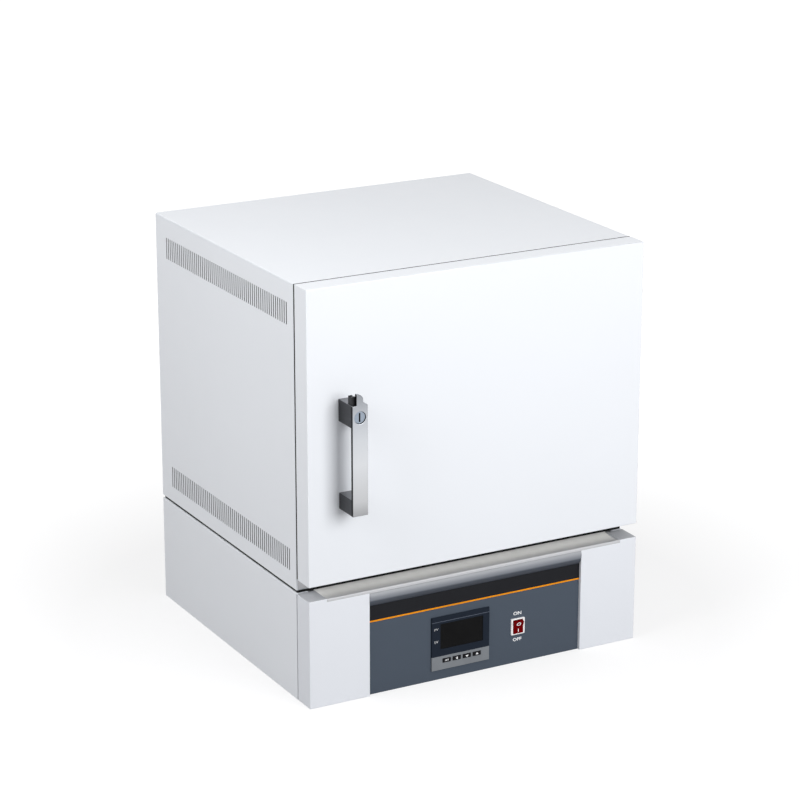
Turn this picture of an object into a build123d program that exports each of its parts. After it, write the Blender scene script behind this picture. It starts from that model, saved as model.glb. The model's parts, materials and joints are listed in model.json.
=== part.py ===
from build123d import *
import math
import os

os.makedirs("parts", exist_ok=True)

# Bench-top muffle furnace, in millimetres.  X runs to the right, Y to the rear, Z up.  The origin is the
# middle of the underside, so the furnace stands on Z = 0.

# ---- overall form --------------------------------------------------------------------------------------
width = 500.0              # cabinet, base and door share one width
depth = 456.0              # door front to rear cover
height = 564.0             # floor to cabinet top
sheet = 1.5                # folded steel sheet
free_gap = 0.3             # least space between two pieces that move past each other
bend_radius = 2.0          # outside radius of a fold
base_bend_radius = 1.4     # tighter folds of the base
x_side = width / 2
y_front = -depth / 2
y_rear = depth / 2
x_inner = x_side - sheet
y_inner_rear = y_rear - sheet

# ---- levels --------------------------------------------------------------------------------------------
base_height = 149.0
shadow_gap = 4.5           # dark slot between base and cabinet
door_rise = 15.0           # lower edge of the door above the cabinet bottom
door_thickness = 32.5
door_gap = 3.0             # between the closed door and the cabinet front
wrap_depth = 2.5           # how far the folded top reaches down the sides
cabinet_bottom = base_height + shadow_gap
door_bottom = cabinet_bottom + door_rise
door_middle_z = (door_bottom + height) / 2
y_door_back = y_front + door_thickness
y_cabinet_front = y_door_back + door_gap
y_frame_back = y_cabinet_front + sheet

# ---- ventilation slots ---------------------------------------------------------------------------------
vent_width = 2.4
vent_height = 30.0
vent_pitch = 6.1
vent_count = 61
vent_front_inset = 19.5    # first slot behind the cabinet front
vent_lower_rise = 36.5     # middle of the lower row above the cabinet bottom
vent_upper_drop = 43.0     # middle of the upper row below the cabinet top
vent_middle_y = y_cabinet_front + vent_front_inset + vent_pitch * (vent_count - 1) / 2
vent_rows_z = (cabinet_bottom + vent_lower_rise, height - vent_upper_drop)
rear_vent_width = 5.0
rear_vent_height = 40.0
rear_vent_pitch = 18.0
rear_vent_count = 13
rear_vent_inset = 62.0     # rows from the lower and the upper edge
rear_vent_rows_z = (cabinet_bottom + rear_vent_inset, height - rear_vent_inset)

# ---- chamber and insulation ----------------------------------------------------------------------------
chamber_width = 200.0
chamber_height = 120.0
chamber_rear_inset = 98.0  # rear wall of the chamber from the back of the furnace
chamber_corner = 6.0
muffle_wall = 20.0
muffle_back_wall = 20.0
side_air = 60.5            # air between the insulation and the cabinet sides
top_air = 27.5
floor_air = 30.0
back_air = 21.5
mouth_margin = 1.0         # the steel frame clears the chamber mouth by this much
hearth_thickness = 6.0
hearth_margin = 7.0
hearth_front_inset = 41.0
half_chamber = chamber_width / 2
half_muffle = half_chamber + muffle_wall
chamber_middle_z = (cabinet_bottom + height) / 2
chamber_floor_z = chamber_middle_z - chamber_height / 2
chamber_top_z = chamber_middle_z + chamber_height / 2
chamber_rear_y = y_rear - chamber_rear_inset
muffle_top = chamber_top_z + muffle_wall
muffle_bottom = chamber_floor_z - muffle_wall
muffle_rear_y = chamber_rear_y + muffle_back_wall
half_insulation = x_inner - side_air
insulation_top_z = height - sheet - top_air
insulation_bottom_z = cabinet_bottom + sheet + floor_air
insulation_rear_y = y_inner_rear - back_air

# ---- heating elements ----------------------------------------------------------------------------------
element_radius = 2.5
element_sides = 8
element_runs = 4
element_pitch = 28.0
element_front_inset = 47.0
element_rear_inset = 22.0
element_bend = 4.0
element_seat = 0.3
groove_height = 9.0
groove_depth = 7.0
groove_mouth = 1.0         # the cutter starts this far inside the chamber
element_front_y = y_frame_back + element_front_inset
element_rear_y = chamber_rear_y - element_rear_inset

# ---- thermocouple --------------------------------------------------------------------------------------
probe_radius = 4.0
probe_clearance = 0.3
probe_reach = 22.0         # how far it stands into the chamber
probe_drop = 15.0          # below the chamber roof
probe_head_radius = 10.0
probe_head_length = 15.0
probe_z = chamber_top_z - probe_drop

# ---- door ----------------------------------------------------------------------------------------------
door_skin_sheet = 1.2
door_edge_radius = 1.2
door_liner_sheet = 1.5
plug_clearance = 4.0
plug_depth = 25.0
plug_taper = 3.0           # degrees
gasket_inner_margin = 12.0
gasket_band = 16.0

# ---- hinges --------------------------------------------------------------------------------------------
hinge_stand_off = 5.5      # axis from the cabinet side
hinge_inset = 62.0         # middle of a hinge from the end of the door
hinge_length = 60.0
knuckle_radius = 4.2
hinge_pin_radius = 3.0
hinge_running_fit = 0.05
leaf_thickness = 2.0
leaf_reach = 28.0
leaf_neck = 2.5            # web between leaf and knuckle
hinge_axis_x = x_side + hinge_stand_off
hinge_axis_y = (y_door_back + y_cabinet_front) / 2
hinge_heights_z = (door_bottom + hinge_inset, height - hinge_inset)

# ---- handle --------------------------------------------------------------------------------------------
handle_inset = 55.1        # middle of the grip from the side of the door
handle_drop = 23.2         # middle of the grip below the middle of the door
handle_width = 21.8
handle_length = 146.9
handle_stand_off = 38.0
handle_plate_thickness = 4.5
tab_left_half = 5.1
tab_right_half = 4.4
tab_rise = 15.0
tab_drop = 6.0
tab_crown_shift = 0.65     # the arch of the tab is highest a little to the right
tab_crown_drop = 1.2
right_shoulder_rise = 4.0
upper_foot_height = 29.5
lower_foot_height = 21.8
foot_edge = 0.8
handle_x = -x_side + handle_inset
handle_bottom_z = door_middle_z - handle_drop - handle_length / 2
handle_shoulder_z = handle_bottom_z + handle_length
handle_front_y = y_front - handle_stand_off
y_grip_back = handle_front_y + handle_plate_thickness

# ---- lock ----------------------------------------------------------------------------------------------
lock_drop = 16.0           # below the shoulder of the grip
lock_radius = 8.1
lock_running_fit = 0.08
lock_recess = 1.5
lock_slot_width = 1.8
lock_slot_length = 11.5
lock_slot_depth = 1.2
lock_shaft_radius = 3.0
lock_shaft_fit = 0.05
lock_shaft_length = 11.0
lock_shaft_end_gap = 1.0
lock_z = handle_shoulder_z - lock_drop

# ---- latch ---------------------------------------------------------------------------------------------
latch_inset = 4.0          # from the left edge of the grip
latch_width = 5.6
latch_depth = 9.4
latch_rise = 11.0          # crown above the shoulder
latch_stem_drop = 17.5     # lower end below the shoulder
latch_travel = 5.0
latch_end_gap = 1.0
latch_notch = 2.2
latch_notch_set = 5.8      # notch behind the front of the button
tongue_height = 6.0
tongue_lift = 2.0
tongue_reach = 8.5         # past the cabinet front
keeper_margin = 6.0
keeper_depth = 5.0
keeper_rim = 5.0
latch_x = handle_x - handle_width / 2 + latch_inset
latch_top_z = handle_shoulder_z + latch_rise
latch_stem_bottom_z = handle_shoulder_z - latch_stem_drop
tongue_bottom_z = latch_stem_bottom_z + tongue_lift
tongue_reach_y = y_cabinet_front + tongue_reach

# ---- base ----------------------------------------------------------------------------------------------
pillar_width = 88.0        # white pillars beside the panel
pillar_depth = 34.5
side_seam = 1.5            # line between pillar and base side
base_flange = 15.0
notch_inset = 26.0
notch_depth = 4.3
panel_recess = 5.0
stripe_drop = 47.0
stripe_height = 2.2
band_drop = 24.1
film = 0.5
pillar_inner_x = x_side - pillar_width
pillar_return_y = y_front + pillar_depth
notch_x = x_side - notch_inset
notch_z = base_height - notch_depth
y_panel = y_front + panel_recess
y_panel_back = y_panel + sheet
stripe_bottom_z = base_height - stripe_drop
band_top_z = base_height - band_drop

# ---- trough and visor over the panel -------------------------------------------------------------------
trough_depth = 40.0
trough_set = 0.2           # behind the pillar fronts
trough_dip = 2.6
trough_lip = 1.2
trough_lip_drop = 0.4
trough_lip_round = 0.5
visor_bulge = 6.0
visor_top_set = 1.5        # upper edge behind the pillar fronts
visor_shoulder = 8.0       # height over which the crest turns down
visor_crest = (0.3, 3.2)   # middle of the crest: behind the bulge, below the top
visor_waist = (3.4, 15.6)  # middle of the lower sweep: ahead of the panel, below the top
trough_rear_y = y_front + trough_depth

# ---- controller ----------------------------------------------------------------------------------------
controller_x = -23.7
controller_width = 88.0
controller_height = 75.5
controller_lift = 1.2      # above the middle of the slate field
bezel_proud = 2.5
key_strip_height = 19.3
screen_shift = 1.6
screen_width = 65.3
screen_height = 36.1
screen_rise = 9.9          # above the key strip
screen_recess = 0.7
divider_drop = 7.0
divider_height = 0.8
divider_depth = 0.5
key_width = 12.0
key_height = 5.4
key_pitch = 15.4
key_row_shift = 1.7        # middle of the row right of the middle of the controller
key_rise = 12.4
key_proud = 0.7
key_travel = 0.8
key_edge = 0.35
key_names = ("key_set", "key_left", "key_down", "key_up")
housing_margin = 4.0
housing_depth = 70.0
controller_bottom_z = (stripe_bottom_z - controller_height) / 2 + controller_lift
controller_top_z = controller_bottom_z + controller_height
key_strip_top_z = controller_bottom_z + key_strip_height
screen_x = controller_x + screen_shift
screen_bottom_z = key_strip_top_z + screen_rise
screen_top_z = screen_bottom_z + screen_height
divider_z = controller_top_z - divider_drop
key_first_x = controller_x + key_row_shift - key_pitch * (len(key_names) - 1) / 2
key_z = controller_bottom_z + key_rise

# ---- power switch --------------------------------------------------------------------------------------
switch_x = 65.4
switch_lift = 1.8          # above the middle of the slate field
switch_width = 20.8
switch_height = 23.0
switch_flange = 2.0
switch_corner = 0.8
switch_wall = 1.2
switch_body_depth = 28.0
rocker_width = 15.0
rocker_half_height = 8.7
rocker_swing = 8.0         # degrees either side of level
rocker_pivot_depth = 3.0   # behind the face of the panel
rocker_face = 6.0          # pivot to the middle of the rocker face
rocker_back = 2.0
rocker_pin_radius = 1.2
rocker_pin_fit = 0.05
rocker_opening_half_height = 9.8
switch_z = stripe_bottom_z / 2 + switch_lift

# ---- electrical parts in the base ----------------------------------------------------------------------
sink_inset = 100.0
sink_y = -10.0
sink_width = 100.0
sink_length = 110.0
sink_height = 40.0
sink_base = 7.0
fin_count = 9
fin_thickness = 2.4
relay_width = 45.0
relay_length = 58.0
relay_height = 23.0
terminal_inset = 120.0
terminal_rear_inset = 98.0
terminal_ways = 5
terminal_pitch = 16.0
terminal_depth = 30.0
terminal_height = 24.0
terminal_floor = 14.4
terminal_rib = 2.0
sink_x = -x_side + sink_inset
terminal_x = x_side - terminal_inset
terminal_y = y_rear - terminal_rear_inset

# ---- cable gland ---------------------------------------------------------------------------------------
gland_inset = 100.0
gland_z = 60.0
gland_bore = 6.0
gland_thread = 9.8
gland_hole_clearance = 0.2
gland_hex = 14.0
gland_hex_length = 5.0
gland_cap_radius = 11.5
gland_cap_sides = 12
gland_cap_length = 11.0
gland_nut_thickness = 5.0
gland_thread_end = 2.0     # thread past the nut
gland_x = -x_side + gland_inset

# ---- pads, support rails and rear screws ---------------------------------------------------------------
pad_size = 24.0
pad_inset = 45.0
pad_front_inset = 78.0
pad_rear_inset = 38.0
rail_inset = 38.0
rail_width = 34.0
rail_front_inset = 31.0
rail_rear_inset = 15.0
screw_hex_radius = 4.0
screw_head_height = 2.2
screw_columns = 3
screw_rows = 4
screw_inset = 14.0
pad_x = x_side - pad_inset
pad_ys = (y_front + pad_front_inset, y_rear - pad_rear_inset)
rail_x = half_insulation - rail_inset
rail_front_y = y_frame_back + rail_front_inset
rail_rear_y = insulation_rear_y - rail_rear_inset


def block(xs, ys, zs):
    """Box between two limits along each axis."""
    spans = [abs(pair[1] - pair[0]) for pair in (xs, ys, zs)]
    middles = [(pair[0] + pair[1]) / 2 for pair in (xs, ys, zs)]
    return Pos(*middles) * Box(*spans)


def rod_y(x, z, y_start, y_end, radius):
    """Round bar lying along Y."""
    bar = Cylinder(radius, abs(y_end - y_start), rotation=(90, 0, 0))
    return Pos(x, (y_start + y_end) / 2, z) * bar


def extrude_x(points, half_length):
    """Prism of a closed (y, z) outline, centred on X = 0."""
    face = make_face(Polyline([(0, y, z) for y, z in points], close=True))
    return extrude(face, half_length, dir=(1, 0, 0), both=True)


def flip(shape):
    """Same piece on the other side of the furnace."""
    return mirror(shape, about=Plane.YZ)


def save(name, *shapes):
    """Write one node; several pieces of a kind share a file."""
    solids = [solid for shape in shapes for solid in shape.solids()]
    whole = solids[0] if len(solids) == 1 else Compound(children=solids)
    export_step(whole, f"parts/{name}.step")


# ---- cabinet -------------------------------------------------------------------------------------------
def cabinet_side():
    """Left cabinet side with its two rows of ventilation slots."""
    bottom = cabinet_bottom
    top = height - wrap_depth
    outline = Pos((y_cabinet_front + y_rear) / 2, (bottom + top) / 2) * Rectangle(
        y_rear - y_cabinet_front, top - bottom
    )
    row_middle = sum(vent_rows_z) / 2
    row_spacing = vent_rows_z[1] - vent_rows_z[0]
    field = Pos(vent_middle_y, row_middle) * GridLocations(vent_pitch, row_spacing, vent_count, 2)
    outline -= field * Rectangle(vent_width, vent_height)
    return extrude(Plane.YZ.offset(-x_side) * outline, sheet)


def cabinet_top():
    """Top sheet, folded down a little way over both sides."""
    outer = block((-x_side, x_side), (y_cabinet_front, y_rear), (height - wrap_depth, height))
    folds = outer.edges().filter_by(Axis.Y).group_by(Axis.Z)[-1]
    outer = fillet(folds, bend_radius)
    inner = block((-x_inner, x_inner), (y_cabinet_front, y_rear), (height - wrap_depth, height - sheet))
    return outer - inner


def cabinet_floor():
    return block((-x_inner, x_inner), (y_cabinet_front, y_rear), (cabinet_bottom, cabinet_bottom + sheet))


def cabinet_rear_cover():
    """Rear sheet with a slot field above and below."""
    bottom = cabinet_bottom + sheet
    top = height - sheet
    outline = Pos(0, (bottom + top) / 2) * Rectangle(2 * x_inner, top - bottom)
    row_middle = sum(rear_vent_rows_z) / 2
    row_spacing = rear_vent_rows_z[1] - rear_vent_rows_z[0]
    field = Pos(0, row_middle) * GridLocations(rear_vent_pitch, row_spacing, rear_vent_count, 2)
    outline -= field * Rectangle(rear_vent_width, rear_vent_height)
    return extrude(Plane.XZ.offset(-y_rear) * outline, sheet)


def latch_window():
    """Clear way for the latch tongue through the cabinet front."""
    low = tongue_bottom_z - latch_travel - keeper_margin
    high = tongue_bottom_z + tongue_height + keeper_margin
    half = latch_width / 2 + keeper_margin
    rear = y_frame_back + keeper_depth
    return block((latch_x - half, latch_x + half), (y_cabinet_front, rear), (low, high))


def front_frame():
    """Steel plate that closes the cabinet front around the chamber mouth."""
    span = (y_cabinet_front, y_frame_back)
    plate = block((-x_inner, x_inner), span, (cabinet_bottom + sheet, height - sheet))
    half = half_chamber + mouth_margin
    mouth = block((-half, half), span, (chamber_floor_z - mouth_margin, chamber_top_z + mouth_margin))
    mouth = fillet(mouth.edges().filter_by(Axis.Y), chamber_corner)
    return plate - mouth - latch_window()


def latch_keeper():
    """Rim behind the front plate that the latch tongue enters."""
    low = tongue_bottom_z - latch_travel - keeper_margin - keeper_rim
    high = tongue_bottom_z + tongue_height + keeper_margin + keeper_rim
    half = latch_width / 2 + keeper_margin + keeper_rim
    rim = block(
        (latch_x - half, latch_x + half),
        (y_frame_back, y_frame_back + keeper_depth),
        (low, high),
    )
    return rim - latch_window()


# ---- chamber -------------------------------------------------------------------------------------------
def element_levels():
    middle = (element_runs - 1) / 2
    return [chamber_middle_z + (run - middle) * element_pitch for run in range(element_runs)]


def grooves():
    """Recesses in the left chamber wall that carry one heating element."""
    x_span = (-half_chamber - groove_depth, -half_chamber + groove_mouth)
    half = groove_height / 2
    front = element_front_y - half
    rear = element_rear_y + half
    levels = element_levels()
    cut = [block(x_span, (front, rear), (z - half, z + half)) for z in levels]
    for run in range(element_runs - 1):
        end = element_front_y if run % 2 == 0 else element_rear_y
        cut.append(block(x_span, (end - half, end + half), (levels[run] - half, levels[run + 1] + half)))
    return cut


def muffle():
    """Ceramic chamber: open in front, grooved on both sides."""
    body = block((-half_muffle, half_muffle), (y_frame_back, muffle_rear_y), (muffle_bottom, muffle_top))
    inside = (chamber_floor_z, chamber_top_z)
    hollow = block((-half_chamber, half_chamber), (y_frame_back, chamber_rear_y), inside)
    hollow = fillet(hollow.edges().filter_by(Axis.Y), chamber_corner)
    left = grooves()
    right = [flip(cut) for cut in left]
    probe_hole = rod_y(0, probe_z, chamber_rear_y, muffle_rear_y, probe_radius + probe_clearance)
    return body - hollow - left - right - probe_hole


def element_route():
    """Corners of the element: along each groove and up to the next, each turn cut at 45 degrees."""
    x = -half_chamber - groove_depth + element_seat + element_radius
    levels = element_levels()
    points = []
    for run, z in enumerate(levels):
        start, end = element_rear_y, element_front_y
        if run % 2:
            start, end = end, start
        inward = math.copysign(element_bend, end - start)
        if run > 0:
            points += [(x, start, z - element_bend), (x, start + inward, z)]
        else:
            points.append((x, start, z))
        if run < element_runs - 1:
            points += [(x, end - inward, z), (x, end, z + element_bend)]
        else:
            points.append((x, end, z))
    return points


def heating_element():
    """Serpentine resistance element in the left wall: the eight-sided envelope of its close-wound coil."""
    route = Polyline(element_route())
    section = Plane(route @ 0, z_dir=route % 0) * RegularPolygon(element_radius, element_sides)
    return sweep(section, route, transition=Transition.RIGHT)


def hearth_plate():
    half = half_chamber - hearth_margin
    return block(
        (-half, half),
        (y_frame_back + hearth_front_inset, chamber_rear_y - hearth_margin),
        (chamber_floor_z, chamber_floor_z + hearth_thickness),
    )


def insulation_side_board():
    return block((-half_insulation, -half_muffle), (y_frame_back, muffle_rear_y), (muffle_bottom, muffle_top))


def insulation_slab(low, high):
    return block((-half_insulation, half_insulation), (y_frame_back, muffle_rear_y), (low, high))


def insulation_rear():
    board = block(
        (-half_insulation, half_insulation),
        (muffle_rear_y, insulation_rear_y),
        (insulation_bottom_z, insulation_top_z),
    )
    return board - rod_y(0, probe_z, muffle_rear_y, insulation_rear_y, probe_radius + probe_clearance)


def insulation_rail():
    """Channel that holds the insulation off the cabinet floor."""
    floor = cabinet_bottom + sheet
    half = rail_width / 2
    outer = block((-rail_x - half, -rail_x + half), (rail_front_y, rail_rear_y), (floor, insulation_bottom_z))
    hollow = block(
        (-rail_x - half + sheet, -rail_x + half - sheet),
        (rail_front_y, rail_rear_y),
        (floor, insulation_bottom_z - sheet),
    )
    return outer - hollow


def thermocouple():
    tip = chamber_rear_y - probe_reach
    sheath = rod_y(0, probe_z, tip, insulation_rear_y, probe_radius)
    head = rod_y(0, probe_z, insulation_rear_y, insulation_rear_y + probe_head_length, probe_head_radius)
    return sheath + head


# ---- door ----------------------------------------------------------------------------------------------
def tongue_way():
    """Slot through the door and the handle foot for the moving tongue."""
    half = latch_width / 2 + free_gap
    low = tongue_bottom_z - latch_travel - free_gap
    high = tongue_bottom_z + tongue_height + free_gap
    start = y_grip_back + latch_depth / 2
    return block((latch_x - half, latch_x + half), (start, y_door_back), (low, high))


def door_skin():
    """Folded outer pan of the door, open at the back."""
    outer = block((-x_side, x_side), (y_front, y_door_back), (door_bottom, height))
    rim = outer.faces().sort_by(Axis.Y)[0].edges()
    outer = fillet(rim, door_edge_radius)
    wall = door_skin_sheet
    hollow = block(
        (-x_side + wall, x_side - wall),
        (y_front + wall, y_door_back),
        (door_bottom + wall, height - wall),
    )
    return outer - hollow - tongue_way()


def door_slab(y_start, y_end):
    """Slab that fills the door pan between two depths."""
    wall = door_skin_sheet
    slab = block((-x_side + wall, x_side - wall), (y_start, y_end), (door_bottom + wall, height - wall))
    return slab - tongue_way()


def door_back_plane():
    """Plane on the back of the door, centred on the chamber and facing it."""
    return Plane((0, y_door_back, chamber_middle_z), x_dir=(1, 0, 0), z_dir=(0, 1, 0))


def door_plug():
    """Tapered ceramic-fibre block that closes the chamber mouth."""
    face = Rectangle(chamber_width - 2 * plug_clearance, chamber_height - 2 * plug_clearance)
    return extrude(door_back_plane() * face, plug_depth, taper=plug_taper)


def door_gasket():
    """Square frame of felt strip around the plug, just clear of the front plate."""
    inner_w = chamber_width + 2 * gasket_inner_margin
    inner_h = chamber_height + 2 * gasket_inner_margin
    ring = Rectangle(inner_w + 2 * gasket_band, inner_h + 2 * gasket_band) - Rectangle(inner_w, inner_h)
    return extrude(door_back_plane() * ring, door_gap - free_gap)


# ---- hinges --------------------------------------------------------------------------------------------
def hinge_half(z_low, z_high, y_end, bore):
    """One leaf and its knuckle, between two heights."""
    span = z_high - z_low
    knuckle = Pos(hinge_axis_x, hinge_axis_y, (z_low + z_high) / 2) * Cylinder(knuckle_radius, span)
    leaf = block((x_side, x_side + leaf_thickness), (hinge_axis_y, y_end), (z_low, z_high))
    y_neck = hinge_axis_y + math.copysign(leaf_neck, y_end - hinge_axis_y)
    neck = block((x_side, hinge_axis_x), (hinge_axis_y, y_neck), (z_low, z_high))
    hole = Pos(hinge_axis_x, hinge_axis_y, (z_low + z_high) / 2) * Cylinder(bore, span)
    return knuckle + leaf + neck - hole


def hinge_sets():
    """Cabinet leaves, door leaves and pins of the two lift-off hinges."""
    cabinet, door, pins = [], [], []
    for middle in hinge_heights_z:
        low = middle - hinge_length / 2
        high = middle + hinge_length / 2
        split = middle - free_gap / 2
        cabinet.append(hinge_half(low, split, hinge_axis_y + leaf_reach, hinge_pin_radius))
        running_bore = hinge_pin_radius + hinge_running_fit
        door.append(hinge_half(split + free_gap, high, hinge_axis_y - leaf_reach, running_bore))
        pins.append(Pos(hinge_axis_x, hinge_axis_y, middle) * Cylinder(hinge_pin_radius, hinge_length))
    return cabinet, door, pins


# ---- handle, latch and lock ----------------------------------------------------------------------------
def handle_plate():
    """Flat grip: low left shoulder, arched tab, sloping right shoulder, bore for the lock."""
    left = handle_x - handle_width / 2
    right = handle_x + handle_width / 2
    tab_left = handle_x - tab_left_half
    tab_right = handle_x + tab_right_half
    top = handle_shoulder_z
    tab_top = top + tab_rise
    crown = ((tab_left + tab_right) / 2 + tab_crown_shift, tab_top - tab_crown_drop)
    outline = [
        Line((left, handle_bottom_z), (right, handle_bottom_z)),
        Line((right, handle_bottom_z), (right, top)),
        Line((right, top), (tab_right, top + right_shoulder_rise)),
        Line((tab_right, top + right_shoulder_rise), (tab_right, tab_top - tab_drop)),
        ThreePointArc((tab_right, tab_top - tab_drop), crown, (tab_left, tab_top)),
        Line((tab_left, tab_top), (tab_left, top)),
        Line((tab_left, top), (left, top)),
        Line((left, top), (left, handle_bottom_z)),
    ]
    face = make_face(Curve() + outline) - Pos(handle_x, lock_z) * Circle(lock_radius + lock_running_fit)
    base = Plane((0, handle_front_y, 0), x_dir=(1, 0, 0), z_dir=(0, -1, 0)) * face
    return extrude(base, handle_plate_thickness, dir=(0, 1, 0))


def handle_foot(low, high):
    """Block between the grip and the door."""
    foot = block(
        (handle_x - handle_width / 2, handle_x + handle_width / 2),
        (y_grip_back, y_front),
        (low, high),
    )
    return fillet(foot.edges().filter_by(Axis.Y), foot_edge)


def latch_span(clearance):
    """X limits of the latch stem, opened by a clearance."""
    half = latch_width / 2 + clearance
    return latch_x - half, latch_x + half


def handle_foot_upper():
    """Upper foot with the well of the latch stem and the bore of the lock shaft."""
    foot = handle_foot(handle_shoulder_z - upper_foot_height, handle_shoulder_z)
    well = block(
        latch_span(free_gap),
        (y_grip_back, y_grip_back + latch_depth + 2 * free_gap),
        (latch_stem_bottom_z - latch_travel - latch_end_gap, handle_shoulder_z),
    )
    y_hole_end = y_grip_back + lock_shaft_length + lock_shaft_end_gap
    shaft_hole = rod_y(handle_x, lock_z, y_grip_back, y_hole_end, lock_shaft_radius + lock_shaft_fit)
    return foot - well - tongue_way() - shaft_hole


def latch_button():
    """Push button with a notched crown, its stem and the tongue that reaches the cabinet."""
    y_stem = y_grip_back + free_gap
    stem = block(latch_span(0), (y_stem, y_stem + latch_depth), (latch_stem_bottom_z, latch_top_z))
    y_notch = y_stem + latch_notch_set
    notch = extrude_x(
        [
            (y_notch - 2 * latch_notch, latch_top_z + latch_notch),
            (y_notch, latch_top_z - latch_notch),
            (y_notch + 2 * latch_notch, latch_top_z + latch_notch),
        ],
        latch_width,
    )
    tongue = block(
        latch_span(0),
        (y_stem + latch_depth, tongue_reach_y),
        (tongue_bottom_z, tongue_bottom_z + tongue_height),
    )
    return stem - Pos(latch_x, 0, 0) * notch + tongue


def lock_cylinder():
    """Slotted disc sunk in the grip, turned with a coin or a key blade."""
    y_face = handle_front_y + lock_recess
    y_disc_back = y_grip_back - free_gap
    disc = rod_y(handle_x, lock_z, y_face, y_disc_back, lock_radius)
    shaft = rod_y(handle_x, lock_z, y_disc_back, y_disc_back + lock_shaft_length, lock_shaft_radius)
    half_w = lock_slot_width / 2
    half_l = lock_slot_length / 2
    slot = block(
        (handle_x - half_w, handle_x + half_w),
        (y_face, y_face + lock_slot_depth),
        (lock_z - half_l, lock_z + half_l),
    )
    return disc + shaft - slot


# ---- base ----------------------------------------------------------------------------------------------
def base_side():
    """Left side of the base with the flange that the deck hangs from."""
    y_start = pillar_return_y + side_seam
    wall = block((-x_side, -x_inner), (y_start, y_rear), (0, base_height))
    flange_span = (-x_inner, -x_inner + base_flange)
    flange = block(flange_span, (y_start, y_inner_rear), (base_height - sheet, base_height))
    body = wall + flange
    fold = body.edges().filter_by(Axis.Y).sort_by(Axis.Z).group_by(Axis.Z)[-1].sort_by(Axis.X)[0]
    return fillet(fold, base_bend_radius)


def base_deck():
    deck_top = base_height - sheet
    return block((-x_inner, x_inner), (trough_rear_y, y_inner_rear), (deck_top - sheet, deck_top))


def base_pan():
    """Bottom sheet, carried forward between the pillars to the control panel."""
    y_start = pillar_return_y + side_seam
    pan = block((-x_inner, x_inner), (y_start, y_inner_rear), (0, sheet))
    return pan + block((-pillar_inner_x, pillar_inner_x), (y_panel_back, y_start), (0, sheet))


def base_rear_panel():
    panel = block((-x_inner, x_inner), (y_inner_rear, y_rear), (0, base_height))
    return panel - rod_y(gland_x, gland_z, y_inner_rear, y_rear, gland_thread + gland_hole_clearance)


def front_pillar():
    """Left white pillar: folded box with a step in its top for the trough."""
    solid = block((-x_side, -pillar_inner_x), (y_front, pillar_return_y), (0, base_height))
    corner = solid.edges().filter_by(Axis.Z).sort_by(Axis.Y).group_by(Axis.Y)[0].sort_by(Axis.X)[0]
    solid = fillet(corner, base_bend_radius)
    solid -= block((-notch_x, -pillar_inner_x), (y_front, pillar_return_y), (notch_z, base_height))
    hollow_low = block(
        (-x_inner, -pillar_inner_x - sheet),
        (y_front + sheet, pillar_return_y),
        (0, notch_z - sheet),
    )
    hollow_high = block(
        (-x_inner, -notch_x - sheet),
        (y_front + sheet, pillar_return_y),
        (0, base_height - sheet),
    )
    return solid - hollow_low - hollow_high


def base_trough():
    """Dished cover strip across the top of the base, under the door."""
    y_lip = y_front + trough_set
    y_rim = y_lip + trough_lip
    z_rim = base_height - trough_lip_drop
    dish = ((y_lip + trough_rear_y) / 2, base_height - trough_dip)
    roll = (y_lip + trough_lip / 4, z_rim - trough_lip_round)
    outline = [
        Line((y_lip, notch_z), (trough_rear_y, notch_z)),
        Line((trough_rear_y, notch_z), (trough_rear_y, base_height)),
        ThreePointArc((trough_rear_y, base_height), dish, (y_rim, z_rim)),
        ThreePointArc((y_rim, z_rim), roll, (y_lip, z_rim - trough_lip)),
        Line((y_lip, z_rim - trough_lip), (y_lip, notch_z)),
    ]
    return extrude(Plane.YZ * make_face(Curve() + outline), notch_x - free_gap, both=True)


def panel_visor():
    """Rolled moulding between the trough and the control panel."""
    y_bulge = y_panel - visor_bulge
    y_top = y_front + visor_top_set
    shoulder = (y_bulge, notch_z - visor_shoulder)
    crest = (y_bulge + visor_crest[0], notch_z - visor_crest[1])
    waist = (y_panel - visor_waist[0], notch_z - visor_waist[1])
    outline = [
        Line((y_panel, band_top_z), (y_panel, notch_z)),
        Line((y_panel, notch_z), (y_top, notch_z)),
        ThreePointArc((y_top, notch_z), crest, shoulder),
        ThreePointArc(shoulder, waist, (y_panel, band_top_z)),
    ]
    return extrude(Plane.YZ * make_face(Curve() + outline), pillar_inner_x - free_gap, both=True)


def control_panel():
    """Sheet behind the film layers, cut out for the controller and the switch."""
    panel = block((-pillar_inner_x, pillar_inner_x), (y_panel, y_panel_back), (0, notch_z))
    half = controller_width / 2 - housing_margin
    panel -= block(
        (controller_x - half, controller_x + half),
        (y_panel, y_panel_back),
        (controller_bottom_z + housing_margin, controller_top_z - housing_margin),
    )
    half_w = rocker_width / 2 + free_gap + switch_wall
    half_h = rocker_opening_half_height + switch_wall
    panel -= block(
        (switch_x - half_w, switch_x + half_w),
        (y_panel, y_panel_back),
        (switch_z - half_h, switch_z + half_h),
    )
    return panel


def panel_layer(low, high):
    """Thin coloured film across the control panel."""
    return block((-pillar_inner_x, pillar_inner_x), (y_panel - film, y_panel), (low, high))


# ---- controller ----------------------------------------------------------------------------------------
def controller_span():
    half = controller_width / 2
    return controller_x - half, controller_x + half


def screen_block(y_start, y_end):
    half = screen_width / 2
    return block((screen_x - half, screen_x + half), (y_start, y_end), (screen_bottom_z, screen_top_z))


def controller_bezel():
    """Front frame of the temperature controller around its display."""
    y_face = y_panel - bezel_proud
    bezel = block(controller_span(), (y_face, y_panel), (key_strip_top_z, controller_top_z))
    divider = block(
        controller_span(),
        (y_face, y_face + divider_depth),
        (divider_z - divider_height / 2, divider_z + divider_height / 2),
    )
    return bezel - screen_block(y_face, y_panel) - divider


def controller_screen():
    return screen_block(y_panel - bezel_proud + screen_recess, y_panel)


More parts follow.
